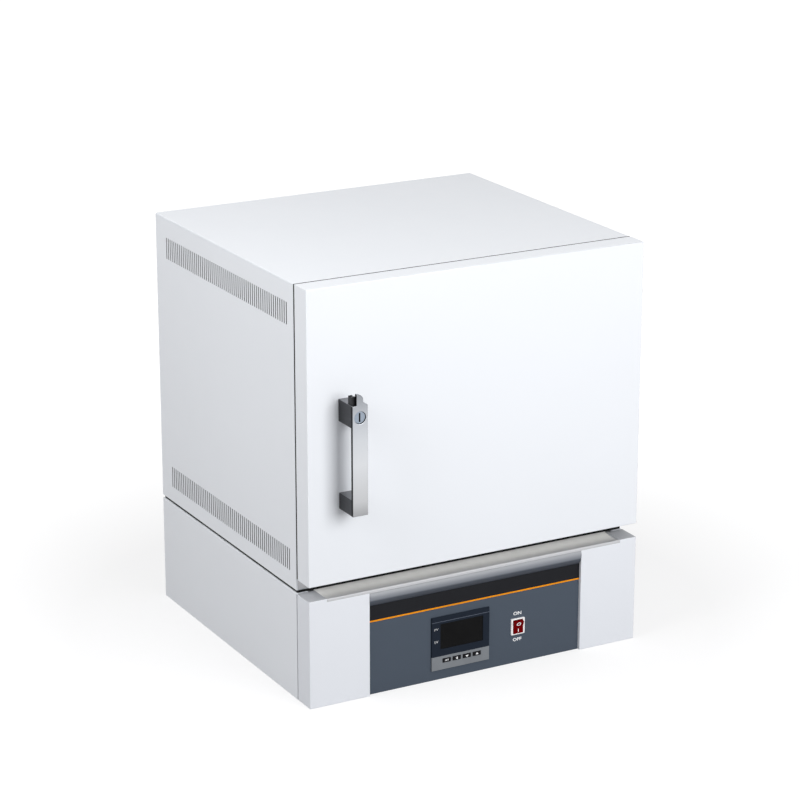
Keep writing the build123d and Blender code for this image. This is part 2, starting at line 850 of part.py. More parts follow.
def key_block(index, clearance, y_start, y_end):
    x = key_first_x + index * key_pitch
    half_w = key_width / 2 + clearance
    half_h = key_height / 2 + clearance
    return block((x - half_w, x + half_w), (y_start, y_end), (key_z - half_h, key_z + half_h))


def controller_key_strip():
    y_face = y_panel - bezel_proud
    strip = block(controller_span(), (y_face, y_panel), (controller_bottom_z, key_strip_top_z))
    return strip - [key_block(index, free_gap, y_face, y_panel) for index in range(len(key_names))]


def controller_key(index):
    """Short-stroke key standing a little proud of its strip."""
    y_face = y_panel - bezel_proud - key_proud
    y_back = y_panel - key_travel - free_gap
    key = key_block(index, 0, y_face, y_back)
    return fillet(key.faces().sort_by(Axis.Y)[0].edges(), key_edge)


def controller_housing():
    half = controller_width / 2 - housing_margin
    return block(
        (controller_x - half, controller_x + half),
        (y_panel, y_panel + housing_depth),
        (controller_bottom_z + housing_margin, controller_top_z - housing_margin),
    )


# ---- switch --------------------------------------------------------------------------------------------
def switch_body():
    """Flange and open well of the rocker switch."""
    y_face = y_panel - switch_flange
    flange = block(
        (switch_x - switch_width / 2, switch_x + switch_width / 2),
        (y_face, y_panel),
        (switch_z - switch_height / 2, switch_z + switch_height / 2),
    )
    flange = fillet(flange.edges().filter_by(Axis.Y), switch_corner)
    half_w = rocker_width / 2 + free_gap
    half_h = rocker_opening_half_height
    y_end = y_panel + switch_body_depth
    well_outer = block(
        (switch_x - half_w - switch_wall, switch_x + half_w + switch_wall),
        (y_panel, y_end),
        (switch_z - half_h - switch_wall, switch_z + half_h + switch_wall),
    )
    well = block(
        (switch_x - half_w, switch_x + half_w),
        (y_face, y_end - switch_wall),
        (switch_z - half_h, switch_z + half_h),
    )
    bore = Cylinder(rocker_pin_radius + rocker_pin_fit, switch_width * 2, rotation=(0, 90, 0))
    return flange + well_outer - well - Pos(switch_x, y_panel + rocker_pivot_depth, switch_z) * bore


def switch_rocker():
    """Rocker with a shallow hollow face, resting with its upper end out."""
    rise = rocker_half_height * math.tan(math.radians(rocker_swing))
    outline = [
        (rocker_back, -rocker_half_height),
        (-rocker_face - rise, -rocker_half_height),
        (-rocker_face, 0),
        (-rocker_face - rise, rocker_half_height),
        (rocker_back, rocker_half_height),
    ]
    body = extrude_x(outline, rocker_width / 2)
    pin = Cylinder(rocker_pin_radius, rocker_width + 2 * switch_wall, rotation=(0, 90, 0))
    rest = Rot(rocker_swing, 0, 0) * (body + pin)
    return Pos(switch_x, y_panel + rocker_pivot_depth, switch_z) * rest


# ---- electrical parts ----------------------------------------------------------------------------------
def relay_heat_sink():
    """Finned extrusion standing on the bottom sheet."""
    half_w = sink_width / 2
    half_l = sink_length / 2
    top = sheet + sink_height
    body = block(
        (sink_x - half_w, sink_x + half_w),
        (sink_y - half_l, sink_y + half_l),
        (top - sink_base, top),
    )
    step = (sink_width - fin_thickness) / (fin_count - 1)
    for fin in range(fin_count):
        x = sink_x - half_w + fin * step
        body += block((x, x + fin_thickness), (sink_y - half_l, sink_y + half_l), (sheet, top - sink_base))
    return body


def solid_state_relay():
    low = sheet + sink_height
    return block(
        (sink_x - relay_width / 2, sink_x + relay_width / 2),
        (sink_y - relay_length / 2, sink_y + relay_length / 2),
        (low, low + relay_height),
    )


def terminal_block():
    """Row of terminals between moulded ribs."""
    length = terminal_ways * terminal_pitch + terminal_rib
    body = block(
        (terminal_x - length / 2, terminal_x + length / 2),
        (terminal_y - terminal_depth / 2, terminal_y + terminal_depth / 2),
        (sheet, sheet + terminal_height),
    )
    for way in range(terminal_ways):
        x = terminal_x - length / 2 + terminal_rib + way * terminal_pitch
        body -= block(
            (x, x + terminal_pitch - terminal_rib),
            (terminal_y - terminal_depth / 2, terminal_y + terminal_depth / 2),
            (sheet + terminal_floor, sheet + terminal_height),
        )
    return body


def gland_prism(y_start, length, radius, sides):
    """Flat-sided prism around the axis of the gland."""
    base = Plane((gland_x, y_start, gland_z), x_dir=(1, 0, 0), z_dir=(0, 1, 0))
    return extrude(base * RegularPolygon(radius, sides), length)


def cable_gland():
    """Gland body: threaded barrel, hexagon and flat-sided cap around one bore."""
    y_inside = y_inner_rear - gland_nut_thickness - gland_thread_end
    y_cap = y_rear + gland_hex_length
    barrel = rod_y(gland_x, gland_z, y_inside, y_rear, gland_thread)
    collar = gland_prism(y_rear, gland_hex_length, gland_hex, 6)
    cap = gland_prism(y_cap, gland_cap_length, gland_cap_radius, gland_cap_sides)
    bore = rod_y(gland_x, gland_z, y_inside, y_cap + gland_cap_length, gland_bore)
    return barrel + collar + cap - bore


def gland_nut():
    y_start = y_inner_rear - gland_nut_thickness
    nut = gland_prism(y_start, gland_nut_thickness, gland_hex, 6)
    return nut - rod_y(gland_x, gland_z, y_start, y_inner_rear, gland_thread)


def cabinet_spacers():
    """Square pads that hold the cabinet off the base and leave the shadow gap."""
    low = base_height - sheet
    pad = Box(pad_size, pad_size, cabinet_bottom - low)
    z = (low + cabinet_bottom) / 2
    return [Pos(x, y, z) * pad for x in (-pad_x, pad_x) for y in pad_ys]


def rear_screws():
    """Hexagon heads around the rear cover."""
    wide = (2 * x_inner - 2 * screw_inset) / (screw_columns - 1)
    high = (height - cabinet_bottom - 2 * screw_inset) / (screw_rows - 1)
    base = Plane((0, y_rear, 0), x_dir=(1, 0, 0), z_dir=(0, 1, 0))
    head = extrude(base * RegularPolygon(screw_hex_radius, 6), screw_head_height)
    heads = []
    for column in range(screw_columns):
        on_edge = column in (0, screw_columns - 1)
        for row in range(screw_rows) if on_edge else (0, screw_rows - 1):
            x = -x_inner + screw_inset + column * wide
            z = cabinet_bottom + screw_inset + row * high
            heads.append(Pos(x, 0, z) * head)
    return heads


# ---- write every node ----------------------------------------------------------------------------------
side = cabinet_side()
save("cabinet_side_left", side)
save("cabinet_side_right", flip(side))
save("cabinet_top", cabinet_top())
save("cabinet_floor", cabinet_floor())
save("cabinet_rear_cover", cabinet_rear_cover())
save("rear_screws", *rear_screws())
save("front_frame", front_frame())
save("latch_keeper", latch_keeper())
save("cabinet_spacers", *cabinet_spacers())

save("muffle", muffle())
element = heating_element()
save("heating_elements", element, flip(element))
save("hearth_plate", hearth_plate())
board = insulation_side_board()
save("insulation_sides", board, flip(board))
save("insulation_top", insulation_slab(muffle_top, insulation_top_z))
save("insulation_bottom", insulation_slab(insulation_bottom_z, muffle_bottom))
save("insulation_rear", insulation_rear())
rail = insulation_rail()
save("insulation_rails", rail, flip(rail))
save("thermocouple", thermocouple())

save("door_skin", door_skin())
save("door_insulation", door_slab(y_front + door_skin_sheet, y_door_back - door_liner_sheet))
save("door_liner", door_slab(y_door_back - door_liner_sheet, y_door_back))
save("door_plug", door_plug())
save("door_gasket", door_gasket())
cabinet_leaves, door_leaves, hinge_pins = hinge_sets()
save("hinge_leaves_cabinet", *cabinet_leaves)
save("hinge_leaves_door", *door_leaves)
save("hinge_pins", *hinge_pins)
save("handle_plate", handle_plate())
save("handle_foot_upper", handle_foot_upper())
save("handle_foot_lower", handle_foot(handle_bottom_z, handle_bottom_z + lower_foot_height))
save("latch_button", latch_button())
save("lock_cylinder", lock_cylinder())

side = base_side()
save("base_side_left", side)
save("base_side_right", flip(side))
pillar = front_pillar()
save("front_pillar_left", pillar)
save("front_pillar_right", flip(pillar))
save("base_deck", base_deck())
save("base_pan", base_pan())
save("base_rear_panel", base_rear_panel())
save("base_trough", base_trough())
save("panel_visor", panel_visor())
save("control_panel", control_panel())
save("panel_stripe", panel_layer(stripe_bottom_z, stripe_bottom_z + stripe_height))
save("panel_band", panel_layer(stripe_bottom_z + stripe_height, band_top_z))

save("controller_bezel", controller_bezel())
save("controller_screen", controller_screen())
save("controller_key_strip", controller_key_strip())
save("controller_housing", controller_housing())
for index, name in enumerate(key_names):
    save(name, controller_key(index))
save("switch_body", switch_body())
save("switch_rocker", switch_rocker())

save("relay_heat_sink", relay_heat_sink())
save("solid_state_relay", solid_state_relay())
save("terminal_block", terminal_block())
save("cable_gland", cable_gland())
save("gland_nut", gland_nut())
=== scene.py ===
# %% [markdown]
# # A bench-top muffle furnace
# This file gives every piece its finish, adds what a construction model leaves out, such as rolled edges,
# lettering, screws and the windings of the coils, and then lights the whole. All lengths are in metres.

# %% Load the frame
import json
import math
import bmesh
import bpy
from mathutils import Matrix, Vector

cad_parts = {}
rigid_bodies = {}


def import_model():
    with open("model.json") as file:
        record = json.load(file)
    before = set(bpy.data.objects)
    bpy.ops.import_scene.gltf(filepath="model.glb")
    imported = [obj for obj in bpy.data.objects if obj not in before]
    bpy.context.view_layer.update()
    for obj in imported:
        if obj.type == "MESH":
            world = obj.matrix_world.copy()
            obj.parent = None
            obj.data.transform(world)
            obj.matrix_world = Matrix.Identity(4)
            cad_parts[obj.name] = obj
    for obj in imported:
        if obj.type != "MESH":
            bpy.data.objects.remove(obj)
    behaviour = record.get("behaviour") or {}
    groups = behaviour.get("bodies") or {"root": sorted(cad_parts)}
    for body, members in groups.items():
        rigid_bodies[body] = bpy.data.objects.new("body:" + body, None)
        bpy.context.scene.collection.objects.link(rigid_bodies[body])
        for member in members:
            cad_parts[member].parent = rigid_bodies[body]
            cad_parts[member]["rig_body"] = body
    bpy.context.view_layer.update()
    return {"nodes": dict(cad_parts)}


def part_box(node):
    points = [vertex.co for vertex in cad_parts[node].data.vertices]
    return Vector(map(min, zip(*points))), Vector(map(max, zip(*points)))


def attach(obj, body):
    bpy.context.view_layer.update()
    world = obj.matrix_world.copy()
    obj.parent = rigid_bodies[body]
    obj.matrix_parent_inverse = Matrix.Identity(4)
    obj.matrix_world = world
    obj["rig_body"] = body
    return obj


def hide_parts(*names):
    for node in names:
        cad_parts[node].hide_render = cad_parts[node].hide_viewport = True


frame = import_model()
nodes = frame["nodes"]
scene = bpy.context.scene
scene.view_settings.view_transform = "Standard"

# %% [markdown]
# ## The camera
# A long lens from well back keeps the upright edges of a box nearly parallel, as in a catalogue picture.
# It stands to the left of the furnace and looks a little down, so the front, the left side and the top
# all show. A camera looks along its own -Z, so it is tipped up by 90 degrees less the downward pitch.

# %% Camera
camera_place = Vector((-1.7385, -3.1825, 1.482))
camera_turn = math.radians(-28.755)
camera_pitch = math.radians(17.779)
lens_mm = 124.9
camera_data = bpy.data.cameras.new("camera")
camera_data.sensor_width = 36.0
camera_data.lens = lens_mm
camera = bpy.data.objects.new("camera", camera_data)
camera.location = camera_place
camera.rotation_euler = (math.pi / 2 - camera_pitch, 0.0, camera_turn)
scene.collection.objects.link(camera)
scene.camera = camera
print("camera", tuple(camera_place), lens_mm)

# %% [markdown]
# ## A small kit for materials
# Every finish here is a Principled shader, broken up by a texture at the scale of the real thing: a powder
# coat has grains of about a millimetre, a brushed sheet has hair-thin scratches in one direction. Object
# coordinates are used throughout, so the grain has one size on every piece and doesn't slide when a door
# swings.

# %% Material helpers
def start_material(name):
    material = bpy.data.materials.new(name)
    material.use_nodes = True
    tree = material.node_tree
    shader = tree.nodes["Principled BSDF"]
    place = tree.nodes.new("ShaderNodeTexCoord").outputs["Object"]
    return material, tree, shader, place


def stretched(tree, place, scale):
    mapping = tree.nodes.new("ShaderNodeMapping")
    mapping.inputs["Scale"].default_value = scale
    tree.links.new(place, mapping.inputs["Vector"])
    return mapping.outputs["Vector"]


def noise(tree, place, scale, detail=3.0, roughness=0.5):
    node = tree.nodes.new("ShaderNodeTexNoise")
    node.inputs["Scale"].default_value = scale
    node.inputs["Detail"].default_value = detail
    node.inputs["Roughness"].default_value = roughness
    tree.links.new(place, node.inputs["Vector"])
    return node.outputs["Fac"]


def between(tree, value, low, high, start=0.3, end=0.7):
    node = tree.nodes.new("ShaderNodeMapRange")
    for socket, number in (("From Min", start), ("From Max", end), ("To Min", low), ("To Max", high)):
        node.inputs[socket].default_value = number
    tree.links.new(value, node.inputs["Value"])
    return node.outputs["Result"]


def ramp(tree, value, stops):
    node = tree.nodes.new("ShaderNodeValToRGB")
    band = node.color_ramp
    while len(band.elements) < len(stops):
        band.elements.new(0.5)
    for element, (position, colour) in zip(band.elements, stops):
        element.position = position
        element.color = (*colour, 1.0)
    tree.links.new(value, node.inputs["Fac"])
    return node.outputs["Color"]


def relief(tree, shader, height, strength, depth):
    node = tree.nodes.new("ShaderNodeBump")
    node.inputs["Strength"].default_value = strength
    node.inputs["Distance"].default_value = depth
    tree.links.new(height, node.inputs["Height"])
    tree.links.new(node.outputs["Normal"], shader.inputs["Normal"])


def linear(red, green, blue):
    """Colour as a screen shows it, 0 to 255, turned into the linear light that a shader wants."""
    def one(value):
        value /= 255.0
        return value / 12.92 if value <= 0.04045 else ((value + 0.055) / 1.055) ** 2.4
    return one(red), one(green), one(blue)


def shade(colour, factor):
    return tuple(min(1.0, channel * factor) for channel in colour)


print("material helpers ready")

# %% [markdown]
# ## Painted finishes
# Powder coat is sprayed as dust and baked, which leaves a fine orange peel: low bumps that only show in
# the highlight. Enamel on the panel is the same with less peel. The folded tops of the pillars and the
# walls of punched slots get greyer copies of the coat of their own, painted shade.

# %% Powder coat and enamel
cloud_scale = 3.5
smear_scale = 45.0
peel_scale = 900.0
peel_depth = 0.0002


def powder_coat(name, colour, roughness=0.42, grain=0.05, shine=0.4):
    material, tree, shader, place = start_material(name)
    cloud = noise(tree, place, cloud_scale, 2.0)
    tint = ramp(tree, cloud, [(0.3, shade(colour, 0.985)), (0.7, colour)])
    tree.links.new(tint, shader.inputs["Base Color"])
    peel = noise(tree, place, peel_scale, 2.0)
    smear = noise(tree, place, smear_scale, 4.0)
    rough = between(tree, smear, roughness - 0.04, roughness + 0.05)
    tree.links.new(rough, shader.inputs["Roughness"])
    shader.inputs["Specular IOR Level"].default_value = shine
    relief(tree, shader, peel, grain, peel_depth)
    return material


white_coat = powder_coat("white_powder_coat", linear(240, 243, 248))
inner_coat = powder_coat("rear_powder_coat", linear(236, 239, 243), 0.5, 0.08)
slate_enamel = powder_coat("slate_enamel", linear(75, 84, 96), 0.5, 0.04, shine=0.15)
# The base front is a little darker white than the door: painted shade.
base_front_painted_shade = powder_coat("base_front_white_painted_shade", linear(233, 236, 242))
# Greyer pillar tops: painted shade under the door.
pillar_tops_painted_shade = powder_coat("painted_shade_on_pillar_tops", linear(180, 182, 186), 0.5, 0.08)
# Greyer slot walls: painted shade.
slot_walls_painted_shade = powder_coat("painted_shade_in_slots", linear(172, 174, 178), 0.6, 0.08, shine=0.1)
print("coats", white_coat.name, inner_coat.name, slate_enamel.name)

# %% [markdown]
# Moulded plastic takes its surface from the tool it was pressed in, a fine even leather, and printed films
# are smoother still. Rubber, the black strips in the gaps and the dark facing of the side insulation are
# the same recipe with a coarser, deeper grain; the strips and the facing are dark as painted shade.

# %% Printed films and moulded plastics
grain_depth = 0.0001


def moulded(name, colour, roughness, grain, scale=1600.0, shine=0.4):
    material, tree, shader, place = start_material(name)
    cloud = noise(tree, place, 25.0, 3.0)
    tint = ramp(tree, cloud, [(0.3, shade(colour, 0.93)), (0.7, shade(colour, 1.04))])
    tree.links.new(tint, shader.inputs["Base Color"])
    leather = noise(tree, place, scale, 2.0)
    rough = between(tree, noise(tree, place, 120.0, 4.0), roughness - 0.05, roughness + 0.06)
    tree.links.new(rough, shader.inputs["Roughness"])
    shader.inputs["Specular IOR Level"].default_value = shine
    relief(tree, shader, leather, grain, grain_depth)
    return material


black_film = moulded("black_printed_band", linear(24, 25, 29), 0.5, 0.03, shine=0.12)
orange_film = moulded("orange_printed_stripe", linear(242, 150, 18), 0.5, 0.02, shine=0.1)
navy_plastic = moulded("navy_bezel", linear(24, 32, 44), 0.5, 0.12, shine=0.1)
# The pale line in the controller's groove is a painted highlight.
painted_divider_highlight = moulded("divider_painted_highlight", linear(92, 99, 112), 0.5, 0.05, shine=0.15)
key_strip_grey = moulded("grey_key_strip", linear(128, 132, 137), 0.5, 0.12, shine=0.2)
key_black = moulded("black_key_caps", linear(16, 16, 20), 0.5, 0.1, shine=0.12)
switch_white = moulded("white_switch_moulding", linear(250, 250, 251), 0.32, 0.05)
rocker_red = moulded("dark_red_rocker", linear(108, 0, 2), 0.4, 0.03, shine=0.03)
print_white = moulded("white_print", linear(244, 245, 247), 0.5, 0.02)
# The side insulation is dark where the side slots show it: painted shade.
slot_backing_painted_shade = moulded("dark_backing_painted_shade", linear(58, 59, 60), 0.8, 0.4, 500.0, shine=0.2)
# The black strips in the gaps are painted shade.
gap_shade_black = moulded("black_strips_painted_shade", linear(22, 22, 23), 0.7, 0.2, 900.0, shine=0.15)
satin_black_and_recess_shade = moulded("black_satin_and_recess_shade", linear(27, 28, 31), 0.45, 0.12, shine=0.25)
relay_cream = moulded("cream_relay_case", linear(222, 220, 208), 0.4, 0.06)
black_rubber = moulded("black_rubber_pads", linear(26, 26, 27), 0.75, 0.3, 700.0)
print("plastics ready")

# %% [markdown]
# ## The display window
# The window over the display is smooth, nearly black plastic. What makes it read as a window is the clean
# reflection on top of a dark ground, with a trace of dust that breaks the reflection up.

# %% Display window
def display_window():
    material, tree, shader, place = start_material("dark_display_window")
    haze = noise(tree, place, 60.0, 5.0, 0.6)
    tint = ramp(tree, haze, [(0.35, linear(9, 9, 10)), (0.75, linear(13, 13, 14))])
    tree.links.new(tint, shader.inputs["Base Color"])
    rough = between(tree, haze, 0.14, 0.26)
    tree.links.new(rough, shader.inputs["Roughness"])
    shader.inputs["Specular IOR Level"].default_value = 0.08
    return material


display_black = display_window()
print("display", display_black.name)

# %% [markdown]
# ## Bare metal
# Brushed steel is a mirror with hair scratches in one direction. Noise stretched along that direction
# drives the roughness and a very shallow relief. The direction is a choice per piece: up and down on
# the handle, across on the front plate.

# %% Brushed metals
hair_across = 900.0
hair_along = 9.0
hair_depth = 0.00008


def hair_lines(tree, place, along):
    scale = [hair_across, hair_across, hair_across]
    scale["xyz".index(along)] = hair_along
    return noise(tree, stretched(tree, place, scale), 1.0, 3.0, 0.6)


def brushed(name, colour, along, roughness=0.32, grain=0.06):
    material, tree, shader, place = start_material(name)
    shader.inputs["Metallic"].default_value = 1.0
    hair = hair_lines(tree, place, along)
    tint = ramp(tree, hair, [(0.25, shade(colour, 0.86)), (0.75, shade(colour, 1.05))])
    tree.links.new(tint, shader.inputs["Base Color"])
    rough = between(tree, hair, roughness - 0.06, roughness + 0.08)
    tree.links.new(rough, shader.inputs["Roughness"])
    relief(tree, shader, hair, grain, hair_depth)
    return material


# The dark grip edges are a painted reflection; the same dark is painted shade in the lock's bore and slot.
dark_reflection_and_shade = brushed("dark_painted_reflection_and_shade", linear(27, 27, 29), "z", 0.45)
foot_steel = brushed("grey_handle_feet", linear(72, 73, 76), "y", 0.38)
# The lighter tops of the handle's feet are painted light on the grey steel.
feet_painted_light = brushed("painted_light_on_feet", linear(122, 123, 127), "x", 0.3)
lock_steel = brushed("lock_disc_steel", linear(138, 148, 160), "x", 0.34)
plate_steel = brushed("front_plate_steel", linear(186, 186, 188), "x", 0.34)
hinge_steel = brushed("hinge_steel", linear(190, 192, 195), "z", 0.3)
sink_metal = brushed("extruded_heat_sink", linear(200, 202, 205), "y", 0.35)
element_metal = brushed("oxidised_element_wire", linear(96, 88, 84), "y", 0.55, 0.3)
print("metals ready")

# %% [markdown]
# Zinc-plated sheet shows spangle: crystals a few millimetres wide, each with its own grey. A Voronoi
# texture gives each cell one random value, which is just what a crystal does.

# %% Zinc-plated sheet
crystal_scale = 160.0


def zinc_sheet():
    material, tree, shader, place = start_material("zinc_plated_sheet")
    shader.inputs["Metallic"].default_value = 0.9
    cells = tree.nodes.new("ShaderNodeTexVoronoi")
    cells.inputs["Scale"].default_value = crystal_scale
    tree.links.new(place, cells.inputs["Vector"])
    split = tree.nodes.new("ShaderNodeSeparateColor")
    tree.links.new(cells.outputs["Color"], split.inputs["Color"])
    crystal = split.outputs["Red"]
    tint = ramp(tree, crystal, [(0.0, linear(158, 162, 166)), (1.0, linear(186, 189, 192))])
    tree.links.new(tint, shader.inputs["Base Color"])
    rough = between(tree, crystal, 0.34, 0.5, 0.0, 1.0)
    tree.links.new(rough, shader.inputs["Roughness"])
    return material


zinc = zinc_sheet()
print("zinc", zinc.name)

# %% [markdown]
# ## Chamber ceramics
# The chamber is cast from alumina grit: cream, rough and pitted. Insulation board is pressed from ceramic
# fibre, softer and whiter, with a felt-like surface. Both are fully matte.

# %% Ceramics
pit_depth = 0.0008


def ceramic(name, pale, dark, grit, pits, roughness=0.9):
    material, tree, shader, place = start_material(name)
    speck = noise(tree, place, grit, 6.0, 0.7)
    tint = ramp(tree, speck, [(0.32, dark), (0.5, pale), (0.8, shade(pale, 1.03))])
    tree.links.new(tint, shader.inputs["Base Color"])
    shader.inputs["Roughness"].default_value = roughness
    relief(tree, shader, noise(tree, place, grit * 2.0, 5.0, 0.7), pits, pit_depth)
    return material


refractory = ceramic("cast_alumina", linear(226, 217, 200), linear(190, 176, 152), 260.0, 0.5)
fibre_board = ceramic("ceramic_fibre_board", linear(236, 233, 224), linear(212, 207, 194), 420.0, 0.6)
gasket_felt = ceramic("woven_gasket", linear(228, 225, 216), linear(188, 184, 172), 700.0, 0.8)
probe_ceramic = ceramic("probe_sheath", linear(232, 228, 218), linear(214, 208, 196), 500.0, 0.2, 0.6)
print("ceramics ready")

# %% [markdown]
# ## The rolled visor and the trough
# The strip above the control panel is rolled forward like a breaking wave. Its colour runs from slate
# at the bottom, where it meets the black band, to pale grey-blue at the crest: partly the lacquer's own
# slate and partly painted shade and painted reflection. The height above the bench drives the colour,
# through a ramp set to the strip's own limits. The dished trough behind it is paler, and its tone runs
# from front to back in the same way, greyer at the front as painted shade.

# %% Visor and trough lacquer, with painted shade
def fade_by_axis(name, axis, start, end, stops, roughness, metallic, along="x"):
    material, tree, shader, place = start_material(name)
    split = tree.nodes.new("ShaderNodeSeparateXYZ")
    tree.links.new(place, split.inputs["Vector"])
    ahead = between(tree, split.outputs[axis], 0.0, 1.0, start, end)
    tree.links.new(ramp(tree, ahead, stops), shader.inputs["Base Color"])
    shader.inputs["Metallic"].default_value = metallic
    hair = hair_lines(tree, place, along)
    tree.links.new(between(tree, hair, roughness - 0.04, roughness + 0.06), shader.inputs["Roughness"])
    shader.inputs["Specular IOR Level"].default_value = 0.3
    relief(tree, shader, hair, 0.03, hair_depth)
    return material


visor_low, visor_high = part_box("panel_visor")
# Darker at the bottom and pale at the crest: painted shade and painted reflection.
visor_stops = [
    (0.0, linear(62, 68, 78)),
    (0.38, linear(70, 76, 86)),
    (0.52, linear(130, 135, 143)),
    (0.78, linear(150, 153, 159)),
    (1.0, linear(166, 168, 172)),
]
visor_painted_shade = fade_by_axis("visor_painted_shade", "Z", visor_low.z, visor_high.z, visor_stops, 0.5, 0.0)
trough_low, trough_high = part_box("base_trough")
# Greyer at the front and white at the back: painted shade.
trough_stops = [
    (0.0, linear(200, 201, 204)),
    (0.12, linear(190, 190, 190)),
    (0.5, linear(236, 235, 231)),
    (0.8, linear(255, 254, 250)),
    (1.0, linear(255, 254, 251)),
]
trough_painted_shade = fade_by_axis("trough_painted_shade", "Y", trough_low.y, trough_high.y, trough_stops, 0.35, 0.0)
print("visor", visor_low.z, visor_high.z, "trough", trough_low.y, trough_high.y)

# %% [markdown]
# The grip is flat satin steel, so what it shows is the room: bright at the middle of its height, greyer
# towards both ends. A flat bar can't show that well with a few lamps, so part of it is laid into the
# colour, as a tone that rises and falls along the grip.

# %% Satin grip
grip_low, grip_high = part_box("handle_plate")
grip_stops = [
    (0.0, linear(146, 147, 149)),
    (0.12, linear(176, 177, 179)),
    (0.42, linear(190, 192, 195)),
    (0.62, linear(182, 185, 189)),
    (0.78, linear(168, 171, 176)),
    (1.0, linear(130, 133, 138)),
]
handle_steel = fade_by_axis("satin_handle_steel", "Z", grip_low.z, grip_high.z, grip_stops, 0.34, 1.0, "z")
print("grip from", grip_low.z, "to", grip_high.z)

# %% [markdown]
# ## Dress the construction nodes
# One table of names says which finish each sheet, board and fitting gets. The pieces that are seen close
# up are redone with rolled edges further down, and take the same finishes.

# %% Finishes by node
finish_of = {
    white_coat: "cabinet_side_left cabinet_side_right cabinet_top door_skin base_side_left base_side_right",
    base_front_painted_shade: "front_pillar_left front_pillar_right",
    inner_coat: "cabinet_rear_cover base_rear_panel",
    slate_enamel: "control_panel",
    black_film: "panel_band",
    orange_film: "panel_stripe",
    visor_painted_shade: "panel_visor",
    trough_painted_shade: "base_trough",
    navy_plastic: "controller_bezel",
    display_black: "controller_screen",
    key_strip_grey: "controller_key_strip",
    key_black: "key_set key_left key_down key_up",
    switch_white: "switch_body",
    rocker_red: "switch_rocker",
    satin_black_and_recess_shade: "controller_housing latch_button terminal_block cable_gland gland_nut",
    relay_cream: "solid_state_relay",
    black_rubber: "cabinet_spacers",
    handle_steel: "handle_plate",
    foot_steel: "handle_foot_upper handle_foot_lower",
    lock_steel: "lock_cylinder",
    plate_steel: "front_frame door_liner",
    hinge_steel: "hinge_leaves_cabinet hinge_leaves_door hinge_pins rear_screws",
    sink_metal: "relay_heat_sink",
    element_metal: "heating_elements",
    zinc: "cabinet_floor base_deck base_pan insulation_rails latch_keeper",
    refractory: "muffle hearth_plate",
    slot_backing_painted_shade: "insulation_sides",
    fibre_board: "insulation_top insulation_bottom insulation_rear door_insulation door_plug",
    gasket_felt: "door_gasket",
    probe_ceramic: "thermocouple",
}


def dress(thing, material):
    thing.data.materials.clear()
    thing.data.materials.append(material)


finish_by_node = {name: material for material, names in finish_of.items() for name in names.split()}
for name, material in finish_by_node.items():
    dress(nodes[name], material)
print("dressed", len(finish_by_node), "left bare", sorted(set(nodes) - set(finish_by_node)))

# %% [markdown]
# ## A small kit for pieces
# Every piece that this file adds to the furnace is a mesh in an object at the origin, with one finish to
# start with. It rides one body of the frame, so it moves with that body.

# %% Piece helpers
def mesh_of(shape, name):
    mesh = bpy.data.meshes.new(name)
    shape.to_mesh(mesh)
    shape.free()
    return mesh


def add_piece(name, mesh, finish, body):
    """New piece at the origin, dressed and riding a body."""
    piece = bpy.data.objects.new(name, mesh)
    scene.collection.objects.link(piece)
    dress(piece, finish)
    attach(piece, body)
    return piece


def verts_in(items):
    return [item for item in items if isinstance(item, bmesh.types.BMVert)]


print("piece helpers ready")

# %% [markdown]
# ## Rolled edges
# Folded sheet and moulded plastic never end in a knife edge, and it is the thin highlight along an edge
# that makes a piece look made. Each piece seen close up is copied from its node, its loose triangles are
# merged into whole faces, and a Bevel modifier rounds the edges inwards, so the piece keeps its size. The
# copy brings along shading directions that no longer fit its new faces, so they are dropped first. The
# slotted side sheets are copied with plain edges, only to give the walls of their slots a second finish,
# which is painted shade.

# %% Copy with rounded edges
bevel_segments = 3
bevel_from = math.radians(28.0)
same_point = 0.00001
same_plane = math.radians(0.5)


def round_edges(piece, radius):
    piece.data.shade_smooth()
    bevel = piece.modifiers.new("rolled edge", "BEVEL")
    bevel.width = radius
    bevel.segments = bevel_segments
    bevel.limit_method = "ANGLE"
    bevel.angle_limit = bevel_from
    bevel.harden_normals = True
    bevel.use_clamp_overlap = True


def rounded_copy(node, radius):
    source = nodes[node]
    shape = bmesh.new()
    shape.from_mesh(source.data)
    bmesh.ops.remove_doubles(shape, verts=shape.verts, dist=same_point)
    bmesh.ops.dissolve_limit(
        shape, angle_limit=same_plane, verts=shape.verts, edges=shape.edges, delimit={"NORMAL"}
    )
    mesh = mesh_of(shape, node + "_rounded")
    stale_normals = mesh.attributes.get("custom_normal")
    if stale_normals:
        mesh.attributes.remove(stale_normals)
    piece = add_piece(node + "_rounded", mesh, finish_by_node[node], source["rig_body"])
    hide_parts(node)
    if radius > 0.0:
        round_edges(piece, radius)
    else:
        mesh.shade_flat()
    return piece


edge_radius = {
    "front_pillar_left": 0.0006, "front_pillar_right": 0.0006,
    "controller_bezel": 0.0004, "controller_key_strip": 0.0004,
    "switch_body": 0.0005, "handle_plate": 0.0006,
    "handle_foot_upper": 0.0005, "handle_foot_lower": 0.0005,
    "latch_button": 0.0004, "lock_cylinder": 0.0004,
    "hearth_plate": 0.0015, "door_plug": 0.003,
    "hinge_leaves_cabinet": 0.0004, "hinge_leaves_door": 0.0004,
    "switch_rocker": 0.0006, "door_gasket": 0.0008,
    "door_skin": 0.0008, "cabinet_top": 0.0008,
    "cabinet_side_left": 0.0, "cabinet_side_right": 0.0,
}
rounded = {}
for node, radius in edge_radius.items():
    rounded[node] = rounded_copy(node, radius)
    print(rounded[node].name, len(rounded[node].data.polygons), "faces")

